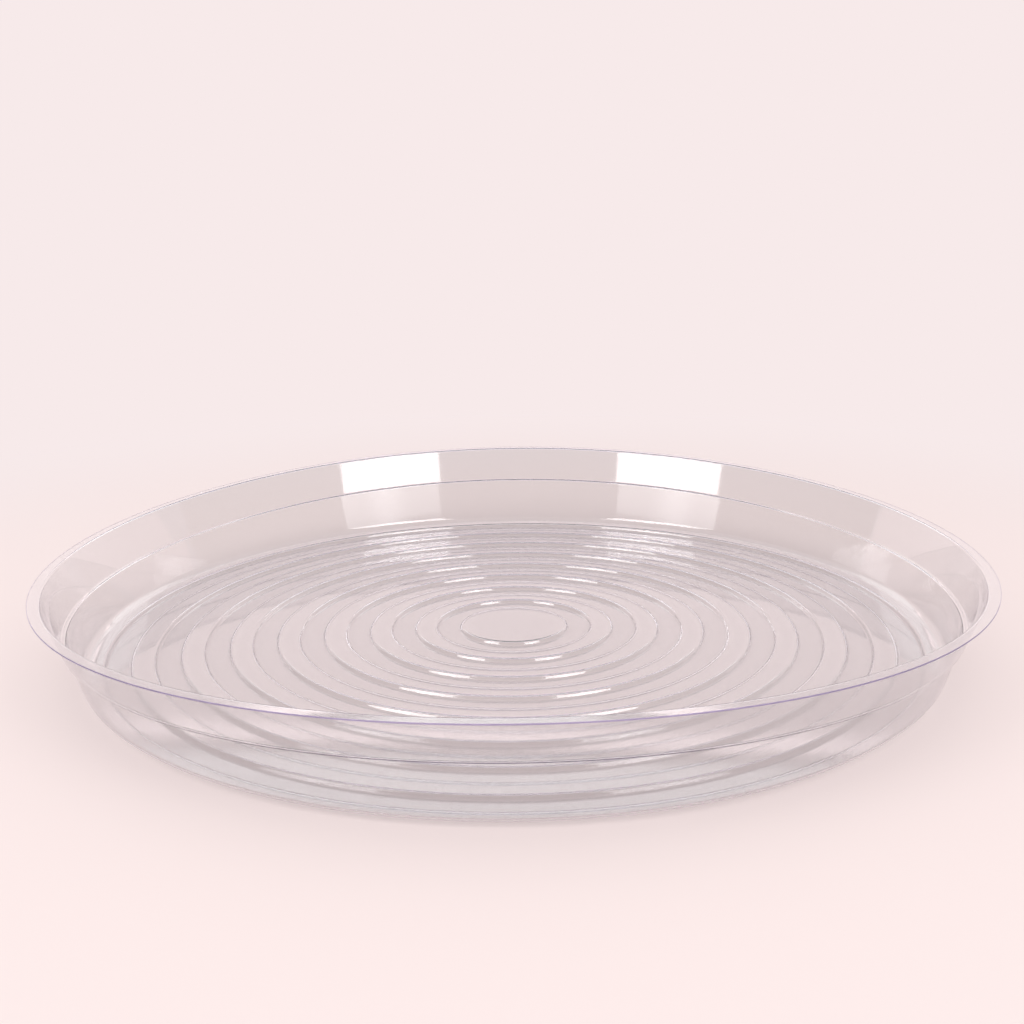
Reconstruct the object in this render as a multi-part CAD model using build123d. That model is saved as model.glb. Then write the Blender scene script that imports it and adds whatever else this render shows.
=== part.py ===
from build123d import *

import os
from math import radians, tan

# A plant saucer, vacuum-formed from one sheet of clear vinyl.
# The origin is the centre of the circle that the saucer stands on, with +Z up. Lengths are in millimetres.

# Overall sizes
rim_diameter = 432.0
overall_height = 46.0
sheet_thickness = 0.6

# Lip and wall. Drafts are degrees from upright. Stacked saucers rest on the shoulder.
lip_width = 5.0
upper_wall_draft = 20.5
shoulder_height = 27.6
shoulder_width = 1.9
lower_wall_draft = 12.0

# Floor. The rings are ridges between grooves, and the saucer stands on the undersides of the grooves.
centre_disc_radius = 25.6
groove_width = 10.9
ridge_width = 10.7
ridge_height = 2.6
flank_width = 1.3
least_ledge_width = 3.0

# Inside radii of the bends. The rings and the shoulder are rounded on the upper side alone,
# because the mould leaves them crisp on the side that touches it. The lip and the foot bend both sides.
lip_bend = 1.6
shoulder_bend = 0.7
foot_bend = 4.2
ring_bend = 0.9

# A bend takes no more than this share of the shorter run beside it
bend_room_share = 0.45

# The wall's corners on the upper side of the sheet, worked inwards from the lip
wall_top_radius = rim_diameter / 2 - lip_width
shoulder_outer_radius = wall_top_radius - (overall_height - shoulder_height) * tan(radians(upper_wall_draft))
shoulder_inner_radius = shoulder_outer_radius - shoulder_width
groove_level = sheet_thickness
ridge_level = groove_level + ridge_height
foot_radius = shoulder_inner_radius - (shoulder_height - ridge_level) * tan(radians(lower_wall_draft))

# As many rings as fit between the centre disc and the foot of the wall. The ledge takes what is left.
ring_pitch = groove_width + ridge_width
ring_room = foot_radius - least_ledge_width - centre_disc_radius - groove_width
ring_count = 1 + int(ring_room / ring_pitch)


def groove_corners(inner_edge):
    """Upper-side corners of one groove. Each flank is centred on the groove's edge radius."""
    outer_edge = inner_edge + groove_width
    half_flank = flank_width / 2
    return [
        (inner_edge - half_flank, ridge_level),
        (inner_edge + half_flank, groove_level),
        (outer_edge - half_flank, groove_level),
        (outer_edge + half_flank, ridge_level),
    ]


def section_corners():
    """Upper-side corners from the axis to the cut edge, and at each bend its inside radius and
    whether the lower side is bent too."""
    corners = [(0, ridge_level)]
    bends = []
    for ring in range(ring_count):
        corners += groove_corners(centre_disc_radius + ring * ring_pitch)
        bends += [(ring_bend, False)] * 4
    corners.append((foot_radius, ridge_level))
    bends.append((foot_bend, True))
    corners += [(shoulder_inner_radius, shoulder_height), (shoulder_outer_radius, shoulder_height)]
    bends += [(shoulder_bend, False)] * 2
    corners += [(wall_top_radius, overall_height), (rim_diameter / 2, overall_height)]
    bends.append((lip_bend, True))
    return [Vector(*corner) for corner in corners], bends


def one_sheet_below(upper):
    """The lower side's corners, where its runs meet one sheet thickness from the upper side's."""
    runs = [(after - before).normalized() for before, after in zip(upper, upper[1:])]
    normals = [Vector(run.Y, -run.X) for run in runs]
    lower = [upper[0] + normals[0] * sheet_thickness]
    for corner, before, after in zip(upper[1:], normals, normals[1:]):
        lower.append(corner + (before + after) * (sheet_thickness / (1 + before.dot(after))))
    lower.append(upper[-1] + normals[-1] * sheet_thickness)
    return lower


def bend_radii(upper, lower, bends):
    """Radii for the two sides at each corner, on one centre where both are bent."""
    upper_radii = []
    lower_radii = []
    for place, (bend, both_sides) in enumerate(bends, start=1):
        before = upper[place] - upper[place - 1]
        after = upper[place + 1] - upper[place]
        turns_up = before.X * after.Y > before.Y * after.X
        runs = [side[end] - side[end - 1] for side in (upper, lower) for end in (place, place + 1)]
        shortest_run = min(run.length for run in runs)
        largest = bend_room_share * shortest_run / tan(radians(before.get_angle(after)) / 2)
        inside = min(bend, largest - sheet_thickness)
        outside = inside + sheet_thickness
        upper_radii.append(inside if turns_up else outside)
        lower_bend = outside if turns_up else inside
        lower_radii.append(lower_bend if both_sides else 0)
    return upper_radii, lower_radii


def saucer():
    """The section of the sheet, turned about the axis."""
    upper, bends = section_corners()
    lower = one_sheet_below(upper)
    upper_radii, lower_radii = bend_radii(upper, lower, bends)
    top = FilletPolyline(*upper, radius=upper_radii)
    bottom = FilletPolyline(*lower, radius=lower_radii)
    middle_line = Line(upper[0], lower[0])
    cut_edge = Line(upper[-1], lower[-1])
    section = make_face([*top.edges(), *cut_edge.edges(), *bottom.edges(), *middle_line.edges()])
    return revolve(Plane.XZ * section, Axis.Z)


sheet = saucer()
os.makedirs("parts", exist_ok=True)
export_step(sheet, "parts/saucer.step")

box = sheet.bounding_box()
ledge_width = foot_radius - centre_disc_radius - groove_width - (ring_count - 1) * ring_pitch
print("rings", ring_count, "ring pitch", round(ring_pitch, 2), "ledge", round(ledge_width, 2))
print("radii of foot and shoulder", round(foot_radius, 2), round(shoulder_outer_radius, 2))
print("size", round(box.size.X, 2), round(box.size.Y, 2), round(box.size.Z, 2), "lowest", round(box.min.Z, 4))
print("volume", round(sheet.volume), "and as sheet area", round(sheet.volume / sheet_thickness))
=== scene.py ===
from math import pi, radians, tan

import bpy
import numpy as np
from mathutils import Matrix, Vector


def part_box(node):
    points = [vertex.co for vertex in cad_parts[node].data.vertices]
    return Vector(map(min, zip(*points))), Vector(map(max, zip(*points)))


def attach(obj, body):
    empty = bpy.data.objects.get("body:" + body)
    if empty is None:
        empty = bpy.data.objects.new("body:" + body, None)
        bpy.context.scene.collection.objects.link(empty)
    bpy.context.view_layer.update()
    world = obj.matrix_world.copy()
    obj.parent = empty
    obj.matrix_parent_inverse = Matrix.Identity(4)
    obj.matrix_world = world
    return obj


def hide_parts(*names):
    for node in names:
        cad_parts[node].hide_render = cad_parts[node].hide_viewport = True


# A clear plant saucer, vacuum-formed from one sheet of vinyl, on white paper between two softboxes
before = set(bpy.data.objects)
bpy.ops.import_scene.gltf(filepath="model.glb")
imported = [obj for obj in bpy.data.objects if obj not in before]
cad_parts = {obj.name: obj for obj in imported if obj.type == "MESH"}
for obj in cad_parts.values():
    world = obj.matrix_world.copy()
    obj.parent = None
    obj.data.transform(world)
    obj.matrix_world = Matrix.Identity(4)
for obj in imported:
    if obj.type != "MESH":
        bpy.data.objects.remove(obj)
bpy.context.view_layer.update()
mm = 0.001
print("frame loaded")


def linear(hexColour):
    # sRGB hex to linear light: a straight toe, then the power curve
    channels = np.array([int(hexColour[start:start + 2], 16) for start in (1, 3, 5)]) / 255
    curve = ((channels + 0.055) / 1.055) ** 2.4
    return (*np.where(channels > 0.04045, curve, channels / 12.92).tolist(), 1.0)


def addNode(tree, kind, settings={}, links={}):
    # settings are the node's own values or its sockets' values, links feed its sockets
    node = tree.nodes.new(kind)
    for name, value in settings.items():
        if isinstance(name, int) or name in node.inputs:
            node.inputs[name].default_value = value
        else:
            setattr(node, name, value)
    for name, source in links.items():
        tree.links.new(source, node.inputs[name])
    return node


def emptyMaterial(name):
    # a material and its tree, with nothing in the tree yet
    material = bpy.data.materials.new(name)
    material.use_nodes = True
    tree = material.node_tree
    tree.nodes.clear()
    return material, tree


# The saucer, one formed sheet. Lengths in mm, drafts in degrees from upright. The ridges and the lip's bend
# are as the reflections show them, lower and tighter than the solids'.
saucer = {
    "sheet": 0.6,
    "lipWidth": 5.0,
    "upperDraft": 20.5,
    "shoulderHeight": 27.6,
    "shoulderWidth": 1.9,
    "lowerDraft": 12.0,
    "discRadius": 25.6,
    "grooveWidth": 10.9,
    "ridgeWidth": 10.7,
    "ridgeHeight": 1.7,
    "flankWidth": 0.85,
    "rings": 8,
    "ringBend": 0.75,
    "footBend": 4.2,
    "shoulderBend": 0.7,
    "lipBend": 0.6,
    "cutBend": 0.13,      # the cut edge is barely broken
    "bendShare": 0.45,    # a bend's most, as a share of the run beside it
    "sideSag": 7.6,       # how far the limp wall droops at the two sides
    "bendPoints": 5,      # points to a bend
    "columns": 270,       # points round the axis
}


def unitRows(rows):
    # each row divided by its own length
    return rows / np.linalg.norm(rows, axis=1, keepdims=True)


def leftOf(rows):
    # each direction turned a quarter to the left: (x, y) becomes (-y, x)
    return np.stack([-rows[:, 1], rows[:, 0]], axis=1)


def turnsBetween(before, after):
    # signed angle from one direction to the next: arctangent of their cross and dot products
    cross = before[:, 0] * after[:, 1] - before[:, 1] * after[:, 0]
    return np.arctan2(cross, (before * after).sum(axis=1))


def upperSide(size, rimRadius, height):
    # radius and height of each corner from the axis to the lip, four to a groove, and its inside bend.
    # A wall runs inwards by its height times the tangent of its draft.
    low = size["sheet"]
    high = low + size["ridgeHeight"]
    half = size["flankWidth"] / 2
    width = size["grooveWidth"]
    shelf = size["shoulderHeight"]
    starts = size["discRadius"] + (width + size["ridgeWidth"]) * np.arange(size["rings"])
    grooves = starts[:, None] + np.array([-half, half, width - half, width + half])
    wallTop = rimRadius - size["lipWidth"]
    shoulder = wallTop - (height - shelf) * tan(radians(size["upperDraft"]))
    step = shoulder - size["shoulderWidth"]
    foot = step - (shelf - high) * tan(radians(size["lowerDraft"]))
    radius = np.concatenate([[0], grooves.ravel(), [foot, step, shoulder, wallTop, rimRadius]])
    ringLevels = np.tile([high, low, low, high], size["rings"])
    level = np.concatenate([[high], ringLevels, [high, shelf, shelf, height, height]])
    ringBends = np.full(grooves.size, size["ringBend"])
    wallBends = [size["footBend"], size["shoulderBend"], size["shoulderBend"], size["lipBend"]]
    return np.stack([radius, level], axis=1), np.concatenate([ringBends, wallBends])


def sectionLoop(size, upper, inside):
    # out along the upper side and back along the lower: the lower corners are where the sheet's parallel
    # runs meet, and both sides of a bend share one centre
    thickness = size["sheet"]
    runs = unitRows(np.diff(upper, axis=0))
    below = -leftOf(runs)
    mitre = thickness / (1 + (below[:-1] * below[1:]).sum(axis=1, keepdims=True))
    middle = upper[1:-1] + (below[:-1] + below[1:]) * mitre
    lower = np.vstack([upper[0] + below[0] * thickness, middle, upper[-1] + below[-1] * thickness])
    turn = turnsBetween(runs[:-1], runs[1:])
    lengths = np.minimum(*(np.linalg.norm(np.diff(side, axis=0), axis=1) for side in (upper, lower)))
    room = size["bendShare"] * np.minimum(lengths[:-1], lengths[1:]) / np.tan(np.abs(turn) / 2)
    inside = np.minimum(inside, room - thickness)
    outside = inside + thickness
    upperBends = np.where(turn > 0, inside, outside)
    lowerBends = np.where(turn > 0, outside, inside)
    corners = np.vstack([upper, lower[::-1]])
    bends = np.concatenate([upperBends, [size["cutBend"]] * 2, lowerBends[::-1]])
    return corners, bends


def roundedLoop(corners, bends, points):
    # each corner gives way to an arc: from its first tangent point, the bend's radius times
    # (ahead * sine + inwards * (1 - cosine)) of the angle turned so far
    runs = unitRows(np.diff(corners, axis=0))
    ahead = runs[:-1]
    left = leftOf(ahead)
    turn = turnsBetween(ahead, runs[1:])
    first = corners[1:-1] - ahead * (bends * np.tan(np.abs(turn) / 2))[:, None]
    angle = turn[:, None] * np.linspace(0, 1, points)
    cosine = np.cos(angle)[..., None]
    sine = np.sin(angle)[..., None]
    inwards = (np.sign(turn)[:, None] * left)[:, None] * (1 - cosine)
    arcs = first[:, None] + bends[:, None, None] * (np.abs(sine) * ahead[:, None] + inwards)
    tangents = cosine * ahead[:, None] + sine * left[:, None]
    path = np.vstack([corners[:1], arcs.reshape(-1, 2), corners[-1:]])
    return path, np.vstack([runs[:1], tangents.reshape(-1, 2), runs[-1:]])


def wallDroop(size, height, around):
    # the wall is pressed down at the two sides: the drop grows evenly from the ridges' level to the
    # shoulder's underside, and is greatest on the X axis, by the square of the cosine. The slopes that it
    # leaves come with it, up the wall and round the axis.
    low = size["sheet"] + size["ridgeHeight"]
    span = size["shoulderHeight"] - size["sheet"] - low
    share = (height - low) / span
    most = size["sideSag"] * np.cos(around) ** 2
    drop = most * np.clip(share, 0, 1)
    squash = 1 - np.where((share > 0) & (share < 1), most / span, 0)
    sideways = size["sideSag"] * np.clip(share, 0, 1) * np.sin(2 * around)
    return drop, squash, sideways


def turnedSheet(size, path, tangents):
    # the section turned about Z: (radius * cosine, radius * sine, height - drop). The normals are the cross
    # product of two tangents, one along the section and one round the axis.
    radius, height = path[1:-1, 0][:, None], path[1:-1, 1][:, None]
    outward, upward = tangents[1:-1, 0][:, None], tangents[1:-1, 1][:, None]
    around = np.linspace(0, 2 * pi, size["columns"], endpoint=False)[None, :]
    cosine, sine = np.cos(around), np.sin(around)
    drop, squash, sideways = wallDroop(size, height, around)
    upward = upward * squash
    lean = sideways / radius
    places = np.stack(np.broadcast_arrays(radius * cosine, radius * sine, height - drop), axis=-1)
    normals = np.stack(np.broadcast_arrays(
        outward * lean * sine - upward * cosine,
        -outward * lean * cosine - upward * sine,
        outward), axis=-1)
    poles = np.array([[0, 0, path[0, 1]], [0, 0, path[-1, 1]]])
    places = np.vstack([places.reshape(-1, 3), poles])
    normals = np.vstack([normals.reshape(-1, 3), [[0, 0, 1], [0, 0, -1]]])
    return places, unitRows(normals)


def sheetFaces(rows, columns):
    # four-cornered faces between neighbouring rows, and a fan of triangles at each pole
    across = np.arange(columns)
    beside = (across + 1) % columns
    row = np.arange(rows - 1)[:, None] * columns
    after = row + columns
    quads = np.stack([row + across, after + across, after + beside, row + beside], axis=-1)
    top = np.full(columns, rows * columns)
    last = (rows - 1) * columns
    fans = np.vstack([
        np.stack([top, across, beside], axis=1),
        np.stack([last + across, top + 1, last + beside], axis=1),
    ])
    return quads.reshape(-1, 4), fans


def makeSaucer(size):
    # the rounded section turned into one closed mesh, as wide and high as the frame's saucer. The cut edge
    # follows the upper side's last bend, its own two bends are its rows, and it takes the second material.
    low, high = (np.array(corner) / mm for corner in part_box("saucer"))
    upper, inside = upperSide(size, (high[0] - low[0]) / 2, high[2])
    corners, bends = sectionLoop(size, upper, inside)
    path, tangents = roundedLoop(corners, bends, size["bendPoints"])
    places, normals = turnedSheet(size, path, tangents)
    rows = len(path) - 2
    quads, fans = sheetFaces(rows, size["columns"])
    mesh = bpy.data.meshes.new("vinyl_sheet")
    mesh.from_pydata((places * mm).tolist(), [], quads.tolist() + fans.tolist())
    mesh.polygons.foreach_set("use_smooth", np.ones(len(mesh.polygons), dtype=bool))
    firstCut = (len(upper) - 2) * size["bendPoints"]
    lastCut = firstCut + 2 * size["bendPoints"] - 1
    slots = np.zeros(len(mesh.polygons), dtype=np.int32)
    slots[firstCut * size["columns"]:lastCut * size["columns"]] = 1
    mesh.polygons.foreach_set("material_index", slots)
    mesh.normals_split_custom_set_from_vertices(normals.tolist())
    sheet = bpy.data.objects.new("vinyl_sheet", mesh)
    bpy.context.collection.objects.link(sheet)
    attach(sheet, "root")
    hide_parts("saucer")
    print("saucer", rows, "rows", len(quads) * 2 + len(fans), "triangles")
    return sheet


# Clear plasticised PVC sheet, vacuum-formed: glossy on both sides, a little wavy, with a violet toner in it
# that shows where the eye looks along the sheet
vinyl = {
    "tint": "#efefef",
    "ior": 1.53,
    "roughness": 0.045,
    "waveLength": 30.0,       # mm from crest to crest of the sheet's slack
    "waveHeight": 0.003,      # mm
    "waveDetail": 2.0,        # octaves of noise
    "turningPitch": 1.2,      # mm between the lathe marks that the mould leaves
    "turningHeight": 0.0001,  # mm
    "turningDetail": 1.0,     # octaves of noise
    "absorbed": "#b6a3cb",    # what the sheet lets through of each colour, as the absorption node counts it
    "density": 60.0,          # per metre of sheet
    "shade": "#fcfcfc",       # one face's share of the light that reaches the paper
    "grazingShade": "#dedede",    # the same where the light meets the face at a low angle
}


def clearVinyl(look):
    # the slack is noise in space, and over it the lathe marks are noise along the distance from the axis
    material, tree = emptyMaterial("clear_pvc_sheet")
    place = addNode(tree, "ShaderNodeTexCoord").outputs["Object"]
    waves = addNode(tree, "ShaderNodeTexNoise", {
        "Scale": 1 / (look["waveLength"] * mm),
        "Detail": look["waveDetail"],
    }, {"Vector": place})
    slack = addNode(tree, "ShaderNodeBump", {"Distance": look["waveHeight"] * mm},
                    {"Height": waves.outputs["Fac"]})
    flat = addNode(tree, "ShaderNodeVectorMath", {"operation": "MULTIPLY", 1: (1, 1, 0)}, {0: place})
    out = addNode(tree, "ShaderNodeVectorMath", {"operation": "LENGTH"}, {0: flat.outputs[0]})
    marks = addNode(tree, "ShaderNodeTexNoise", {
        "noise_dimensions": "1D",
        "Scale": 1 / (look["turningPitch"] * mm),
        "Detail": look["turningDetail"],
    }, {"W": out.outputs["Value"]})
    turned = addNode(tree, "ShaderNodeBump", {"Distance": look["turningHeight"] * mm},
                     {"Height": marks.outputs["Fac"], "Normal": slack.outputs["Normal"]})
    sheet = addNode(tree, "ShaderNodeBsdfPrincipled", {
        "Base Color": linear(look["tint"]),
        "Transmission Weight": 1.0,
        "IOR": look["ior"],
        "Roughness": look["roughness"],
    }, {"Normal": turned.outputs["Normal"]})
    # rays between the lamps and the paper pass straight through, a little shaded
    fresnel = addNode(tree, "ShaderNodeFresnel", {"IOR": look["ior"]})
    shade = addNode(tree, "ShaderNodeMix", {
        "data_type": "RGBA",
        6: linear(look["shade"]),            # sockets 6 and 7 are its two colours
        7: linear(look["grazingShade"]),
    }, {0: fresnel.outputs[0]})
    clear = addNode(tree, "ShaderNodeBsdfTransparent", {}, {"Color": shade.outputs[2]})
    rays = addNode(tree, "ShaderNodeLightPath")
    straight = addNode(tree, "ShaderNodeMath", {"operation": "MAXIMUM", "use_clamp": True},
                       {0: rays.outputs["Is Shadow Ray"], 1: rays.outputs["Diffuse Depth"]})
    mix = addNode(tree, "ShaderNodeMixShader", {}, {
        0: straight.outputs[0],
        1: sheet.outputs[0],
        2: clear.outputs[0],
    })
    toner = addNode(tree, "ShaderNodeVolumeAbsorption",
                    {"Color": linear(look["absorbed"]), "Density": look["density"]})
    addNode(tree, "ShaderNodeOutputMaterial", {}, {"Surface": mix.outputs[0], "Volume": toner.outputs[0]})
    return material


# The sheet's cut edge: the same PVC seen end-on, where the toner shows violet and the knife left it matt
cutEdge = {
    "colour": "#b3a2cf",
    "ior": 1.53,
    "roughness": 0.35,
    "clearness": 0.55,
    "nickLength": 2.5,        # mm from nick to nick
    "nickHeight": 0.02,       # mm
}


def cutVinyl(look):
    # the nicks are noise in space
    material, tree = emptyMaterial("cut_pvc_edge")
    place = addNode(tree, "ShaderNodeTexCoord")
    nicks = addNode(tree, "ShaderNodeTexNoise", {"Scale": 1 / (look["nickLength"] * mm)},
                    {"Vector": place.outputs["Object"]})
    bump = addNode(tree, "ShaderNodeBump", {"Distance": look["nickHeight"] * mm},
                   {"Height": nicks.outputs["Fac"]})
    edge = addNode(tree, "ShaderNodeBsdfPrincipled", {
        "Base Color": linear(look["colour"]),
        "Transmission Weight": look["clearness"],
        "IOR": look["ior"],
        "Roughness": look["roughness"],
    }, {"Normal": bump.outputs["Normal"]})
    addNode(tree, "ShaderNodeOutputMaterial", {}, {"Surface": edge.outputs[0]})
    return material


# The studio. Bearings are degrees from the camera's side towards +X, lengths in metres.
studio = {
    "floor": "#f6e9e7",
    "backdrop": "#f7eaea",
    "floorHalf": 9.0,
    "floorGap": 0.1,            # mm under the saucer
    "blendStart": 0.24,         # from the saucer's middle to where the paper starts to fade
    "blendEnd": 0.6,            # and to where it is the backdrop's even colour
    "worldLight": "#fffafa",
    "worldStrength": 0.82,
    "ceiling": "#e4e4e6",       # the room above, for reflections only
    "bounces": 32,              # light runs far along the sheet, from face to face
}
# What the sheet mirrors: upright panels. Each one's plane is square to a bearing at a distance, its sides
# are at two other bearings, and its lower and upper edges are heights, which may slope. Its glow multiplies
# its grey, and its shine is the glow at the upper edge, which grows over the shine's depth.
panels = {
    "camera_side": {"faces": 0, "distance": 2.0, "from": -62, "to": 62, "low": -0.02, "high": 2.6,
                    "grey": "#a0a0a0"},
    "left_side": {"faces": -90, "distance": 1.9, "from": -123, "to": -45, "low": -0.02, "high": 2.0,
                  "grey": "#949290"},
    "right_side": {"faces": 90, "distance": 1.9, "from": 45, "to": 110, "low": -0.02, "high": 2.0,
                   "grey": "#c0beba"},
    "backdrop_top": {"faces": 180, "distance": 1.5, "from": 110, "to": 237, "low": -0.02, "high": 0.762,
                     "grey": "#f7eaea", "slope": -0.043, "glow": 1.28},
    "backdrop_edge": {"faces": 180, "distance": 1.495, "from": 152, "to": 208, "low": 0.7, "high": 0.762,
                      "grey": "#f7eaea", "slope": -0.043, "glow": 1.28, "shine": 4.2, "shineDepth": 0.055},
    "backdrop_bar": {"faces": 180, "distance": 1.49, "from": 152, "to": 208, "low": 0.757, "high": 0.78,
                     "grey": "#060608", "slope": -0.043},
    "room_beyond": {"faces": 180, "distance": 1.6, "from": 152, "to": 208, "low": 0.7, "high": 1.4,
                    "grey": "#f2f2f2", "glow": 2.25},
}
lamps = {
    "key": {"faces": 20, "distance": 1.2, "from": 24, "to": 56, "low": 0.25, "high": 1.5},
    "fill": {"faces": -27, "distance": 1.2, "from": -68.5, "to": -35, "low": 0.25, "high": 1.5},
}
softboxCloth = {
    "radiance": 6.0,            # the front cloth, times white
    "hotSpot": 3.0,             # what the bulb behind its middle adds
    "hotWidth": 0.28,           # as a share of the panel's width
    "skirt": 0.35,              # metres over which it dims towards the lower edge
    "skirtShare": 0.3,          # what is left there
    "lampRadiance": 2.4,        # the same box as the paper sees it
}


def bearing(degrees):
    # unit direction at an angle from the camera's side towards +X: (sine, -cosine, 0)
    angle = radians(degrees)
    return Vector((np.sin(angle), -np.cos(angle), 0))


def panelSides(panel):
    # the foot of a panel's plane, the way along it, and how far along it the two sides are: the distance
    # times the tangent of the angle between the side's bearing and the plane's
    facing = bearing(panel["faces"])
    along = Vector((-facing.y, facing.x, 0))
    turns = [radians(panel[side] - panel["faces"]) for side in ("from", "to")]
    near, far = (panel["distance"] * tan(turn) for turn in turns)
    return facing * panel["distance"], along, near, far


def anyRay(tree, kinds):
    # 1 for a ray of one of these kinds, the greatest of their flags
    rays = addNode(tree, "ShaderNodeLightPath")
    flag = rays.outputs[kinds[0]]
    for kind in kinds[1:]:
        either = addNode(tree, "ShaderNodeMath", {"operation": "MAXIMUM"}, {0: flag, 1: rays.outputs[kind]})
        flag = either.outputs[0]
    return flag


def hideFrom(thing, kinds):
    # rays of these kinds pass it by
    for kind in kinds:
        setattr(thing, "visible_" + kind, False)


def stageMesh(name, places, faces, material):
    # a piece of the set round the saucer, which is no part of it
    mesh = bpy.data.meshes.new(name)
    mesh.from_pydata(places, [], faces)
    mesh.materials.append(material)
    thing = bpy.data.objects.new(name, mesh)
    bpy.context.collection.objects.link(thing)
    return thing


def paperFloor(size):
    # painted paper near the saucer, which fades into the backdrop's even colour further off
    material, tree = emptyMaterial("backdrop_paper")
    place = addNode(tree, "ShaderNodeNewGeometry")
    away = addNode(tree, "ShaderNodeVectorMath", {"operation": "LENGTH"}, {0: place.outputs["Position"]})
    blend = addNode(tree, "ShaderNodeMapRange", {
        "interpolation_type": "SMOOTHSTEP",
        "From Min": size["blendStart"],
        "From Max": size["blendEnd"],
    }, {"Value": away.outputs["Value"]})
    seen = anyRay(tree, ("Is Camera Ray", "Is Glossy Ray", "Is Transmission Ray"))
    share = addNode(tree, "ShaderNodeMath", {"operation": "MULTIPLY"}, {0: blend.outputs[0], 1: seen})
    paper = addNode(tree, "ShaderNodeBsdfDiffuse", {"Color": linear(size["floor"])})
    even = addNode(tree, "ShaderNodeEmission", {"Color": linear(size["backdrop"])})
    mix = addNode(tree, "ShaderNodeMixShader", {}, {
        0: share.outputs[0],
        1: paper.outputs[0],
        2: even.outputs[0],
    })
    addNode(tree, "ShaderNodeOutputMaterial", {}, {"Surface": mix.outputs[0]})
    half = size["floorHalf"]
    level = -size["floorGap"] * mm
    corners = [(-half, -half, level), (half, -half, level), (half, half, level), (-half, half, level)]
    stageMesh("paper_floor", corners, [(0, 1, 2, 3)], material)


def studioWorld(size):
    # soft light for the paper, the even backdrop for the camera, and the ceiling for rays that the sheet has
    # mirrored or let through and that no paper has scattered
    world = bpy.data.worlds.new("studio")
    bpy.context.scene.world = world
    world.use_nodes = True
    tree = world.node_tree
    tree.nodes.clear()
    rays = addNode(tree, "ShaderNodeLightPath")
    inSheet = anyRay(tree, ("Is Glossy Ray", "Is Transmission Ray"))
    beforePaper = addNode(tree, "ShaderNodeMath", {"operation": "LESS_THAN", 1: 0.5},
                          {0: rays.outputs["Diffuse Depth"]})
    mirror = addNode(tree, "ShaderNodeMath", {"operation": "MULTIPLY"},
                     {0: inSheet, 1: beforePaper.outputs[0]})
    light = addNode(tree, "ShaderNodeBackground",
                    {"Color": linear(size["worldLight"]), "Strength": size["worldStrength"]})
    ceiling = addNode(tree, "ShaderNodeBackground", {"Color": linear(size["ceiling"])})
    even = addNode(tree, "ShaderNodeBackground", {"Color": linear(size["backdrop"])})
    mirrored = addNode(tree, "ShaderNodeMixShader", {},
                       {0: mirror.outputs[0], 1: light.outputs[0], 2: ceiling.outputs[0]})
    shown = addNode(tree, "ShaderNodeMixShader", {},
                    {0: rays.outputs["Is Camera Ray"], 1: mirrored.outputs[0], 2: even.outputs[0]})
    addNode(tree, "ShaderNodeOutputWorld", {}, {"Surface": shown.outputs[0]})


def notByPaper(tree, light):
    # light that reaches the paper through the sheet comes from the lamps and the world alone, so after a
    # diffuse bounce a mirrored thing is out of the way
    rays = addNode(tree, "ShaderNodeLightPath")
    nothing = addNode(tree, "ShaderNodeBsdfTransparent")
    mix = addNode(tree, "ShaderNodeMixShader", {},
                  {0: rays.outputs["Diffuse Depth"], 1: light.outputs[0], 2: nothing.outputs[0]})
    addNode(tree, "ShaderNodeOutputMaterial", {}, {"Surface": mix.outputs[0]})


def mirroredGrey(name, panel):
    # one even grey, or with a shine that grows towards the panel's upper edge
    material, tree = emptyMaterial(name)
    light = addNode(tree, "ShaderNodeEmission", {
        "Color": linear(panel["grey"]),
        "Strength": panel.get("glow", 1),
    })
    if "shine" in panel:
        along = panelSides(panel)[1]
        place = addNode(tree, "ShaderNodeNewGeometry")
        level = addNode(tree, "ShaderNodeVectorMath",
                        {"operation": "DOT_PRODUCT", 1: Vector((0, 0, 1)) - along * panel["slope"]},
                        {0: place.outputs["Position"]})
        shine = addNode(tree, "ShaderNodeMapRange", {
            "interpolation_type": "SMOOTHSTEP",
            "From Min": panel["high"] - panel["shineDepth"],
            "From Max": panel["high"],
            "To Min": panel["glow"],
            "To Max": panel["shine"],
        }, {"Value": level.outputs["Value"]})
        tree.links.new(shine.outputs[0], light.inputs["Strength"])
    notByPaper(tree, light)
    return material


def reflectedPanel(name, panel, material):
    # seen only in the sheet, so that it neither lights nor hides anything
    foot, along, near, far = panelSides(panel)
    rise = Vector((0, 0, 1))
    slope = panel.get("slope", 0)
    corners = [foot + along * side + rise * (panel[edge] + slope * side)
               for side, edge in ((near, "low"), (far, "low"), (far, "high"), (near, "high"))]
    thing = stageMesh(name, [tuple(corner) for corner in corners], [(0, 1, 2, 3)], material)
    hideFrom(thing, ("camera", "diffuse", "shadow", "volume_scatter"))


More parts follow.
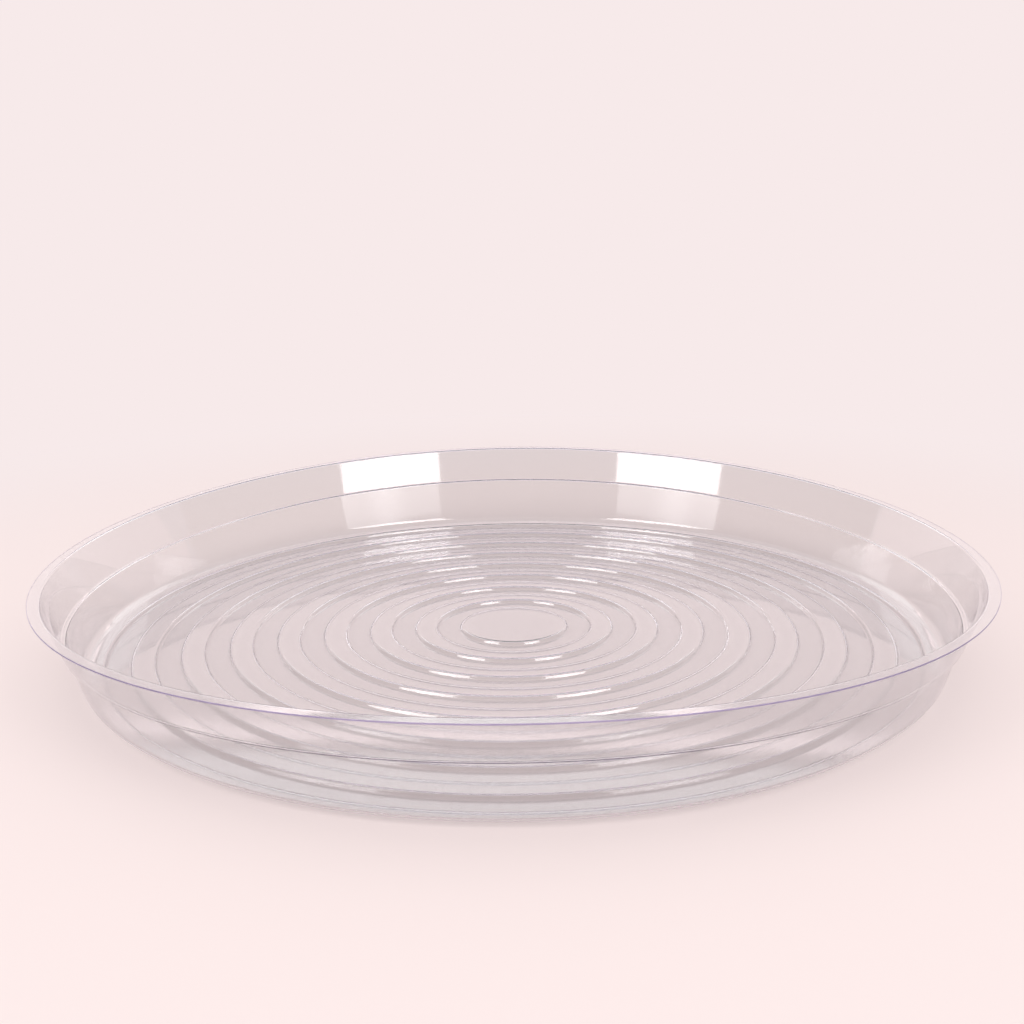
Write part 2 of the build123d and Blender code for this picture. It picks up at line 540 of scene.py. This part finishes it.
def softboxMaterial(name, cloth, panel):
    # white cloth lit from behind: a hot upright band in the middle, dimmer towards the lower edge
    foot, along, near, far = panelSides(panel)
    middle = foot + along * (near + far) / 2
    material, tree = emptyMaterial(name)
    place = addNode(tree, "ShaderNodeNewGeometry").outputs["Position"]
    offset = addNode(tree, "ShaderNodeVectorMath", {"operation": "SUBTRACT", 1: middle}, {0: place})
    across = addNode(tree, "ShaderNodeVectorMath", {"operation": "DOT_PRODUCT", 1: along},
                     {0: offset.outputs[0]})
    aside = addNode(tree, "ShaderNodeMath", {"operation": "ABSOLUTE"}, {0: across.outputs["Value"]})
    hot = addNode(tree, "ShaderNodeMapRange", {
        "interpolation_type": "SMOOTHSTEP",
        "From Min": 0.0,
        "From Max": cloth["hotWidth"] * abs(far - near),
        "To Min": cloth["radiance"] + cloth["hotSpot"],
        "To Max": cloth["radiance"],
    }, {"Value": aside.outputs[0]})
    level = addNode(tree, "ShaderNodeSeparateXYZ", {}, {0: place})
    skirt = addNode(tree, "ShaderNodeMapRange", {
        "interpolation_type": "SMOOTHSTEP",
        "From Min": panel["low"],
        "From Max": panel["low"] + cloth["skirt"],
        "To Min": cloth["skirtShare"],
    }, {"Value": level.outputs["Z"]})
    strength = addNode(tree, "ShaderNodeMath", {"operation": "MULTIPLY"},
                       {0: hot.outputs[0], 1: skirt.outputs[0]})
    notByPaper(tree, addNode(tree, "ShaderNodeEmission", {}, {"Strength": strength.outputs[0]}))
    return material


def softbox(name, cloth, panel):
    # the lamp itself lights the paper, and a panel in its place is what the sheet mirrors
    foot, along, near, far = panelSides(panel)
    light = bpy.data.lights.new(name, "AREA")
    light.shape = "RECTANGLE"
    light.size = abs(far - near)
    light.size_y = panel["high"] - panel["low"]
    light.energy = cloth["lampRadiance"] * pi * light.size * light.size_y
    thing = bpy.data.objects.new(name, light)
    turn = Matrix((along, Vector((0, 0, 1)), bearing(panel["faces"]))).transposed()
    centre = foot + along * (near + far) / 2 + Vector((0, 0, (panel["low"] + panel["high"]) / 2))
    thing.matrix_world = Matrix.Translation(centre) @ turn.to_4x4()
    hideFrom(thing, ("camera", "glossy", "transmission"))
    bpy.context.collection.objects.link(thing)
    reflectedPanel(name + "_cloth", panel, softboxMaterial(name + "_cloth", cloth, panel))


# The camera, in mm and degrees. Its picture is square, and the sensor is measured across it.
camera = {"x": -0.2, "y": -565.9, "z": 201.1, "pitch": 14.23, "roll": -0.81, "lens": 43.66, "sensor": 36.0,
          "nearest": 10.0}


def makeCamera(view):
    # it looks along +Y, pitched down and then rolled about its own axis
    data = bpy.data.cameras.new("camera")
    data.sensor_width = view["sensor"]
    data.lens = view["lens"]
    data.clip_start = view["nearest"] * mm
    thing = bpy.data.objects.new("camera", data)
    pitch = Matrix.Rotation(radians(90 - view["pitch"]), 4, "X")
    roll = Matrix.Rotation(radians(view["roll"]), 4, "Z")
    place = Vector((view["x"], view["y"], view["z"])) * mm
    thing.matrix_world = Matrix.Translation(place) @ pitch @ roll
    bpy.context.collection.objects.link(thing)
    bpy.context.scene.camera = thing


makeCamera(camera)
print("camera set")
sheet = makeSaucer(saucer)
sheet.data.materials.append(clearVinyl(vinyl))
sheet.data.materials.append(cutVinyl(cutEdge))
print("vinyl finished")
paperFloor(studio)
studioWorld(studio)
for name, panel in panels.items():
    reflectedPanel(name, panel, mirroredGrey(name, panel))
for name, panel in lamps.items():
    softbox(name, softboxCloth, panel)
scene = bpy.context.scene
scene.view_settings.view_transform = "Standard"
for kind in ("max", "glossy", "transmission"):
    setattr(scene.cycles, kind + "_bounces", studio["bounces"])
print("studio lit")
